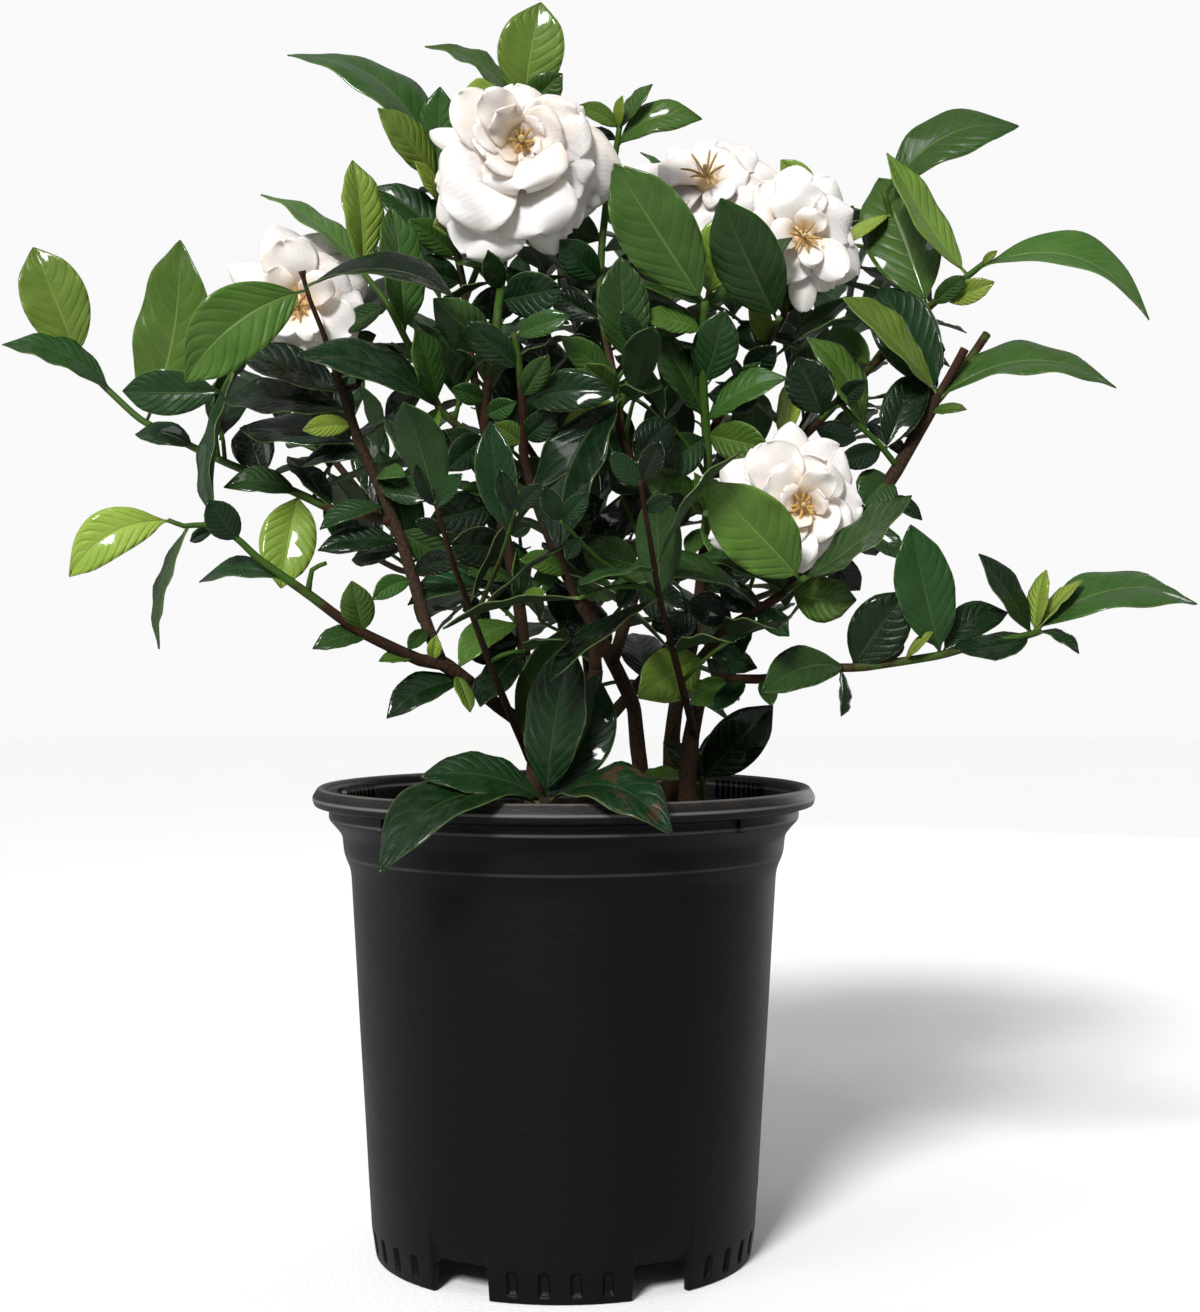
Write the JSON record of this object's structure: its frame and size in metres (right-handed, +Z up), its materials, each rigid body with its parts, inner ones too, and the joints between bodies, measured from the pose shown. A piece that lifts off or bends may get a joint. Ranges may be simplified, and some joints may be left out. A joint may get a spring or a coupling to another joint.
{
  "type": "potted flowering shrub",
  "caption": "Flowering gardenia shrub with glossy leaves and double white blooms, standing in soil in a round black nursery pot on cut-out feet.",
  "frame": {"origin": "on the pot's axis, on the ground under its feet, near the middle of the whole plant's box", "axes": "+Z up along the pot's axis, -Y towards the side that the picture shows, +X to its right"},
  "size_m": [0.532, 0.3328, 0.562],
  "materials": {
    "pot": "matte black",
    "soil": "crumbly bark mix",
    "bark": "rough bark",
    "leaf": "glossy leaf",
    "petal": "matte petal",
    "stamen": "matte"
  },
  "bodies": {
    "root": {"pot": "pot", "soil": "soil", "trunk_left": "bark", "trunk_middle": "bark", "trunk_right": "bark", "trunk_front": "bark", "trunk_back": "bark", "spray_far_left": "leaf", "spray_low_left": "leaf", "spray_left": "leaf", "spray_mid_left": "leaf", "spray_top_left": "leaf", "spray_middle": "leaf", "spray_centre": "leaf", "spray_right_centre": "leaf", "spray_bloom_right": "leaf", "spray_low_right": "leaf", "spray_right_high": "leaf", "spray_right_top": "leaf", "spray_right_low": "leaf", "spray_front": "leaf", "spray_base_right": "leaf", "spray_back_left": "leaf", "spray_back_middle": "leaf", "spray_back_right": "leaf", "spray_back_far": "leaf", "spray_front_left": "leaf", "spray_front_right": "leaf", "bloom_left": "petal", "bloom_main": "petal", "bloom_top": "petal", "bloom_upper_right": "petal", "bloom_lower_right": "petal", "bloom_left_stamens": "stamen", "bloom_main_stamens": "stamen", "bloom_top_stamens": "stamen", "bloom_upper_right_stamens": "stamen", "bloom_lower_right_stamens": "stamen"}
  },
  "joints": []
}
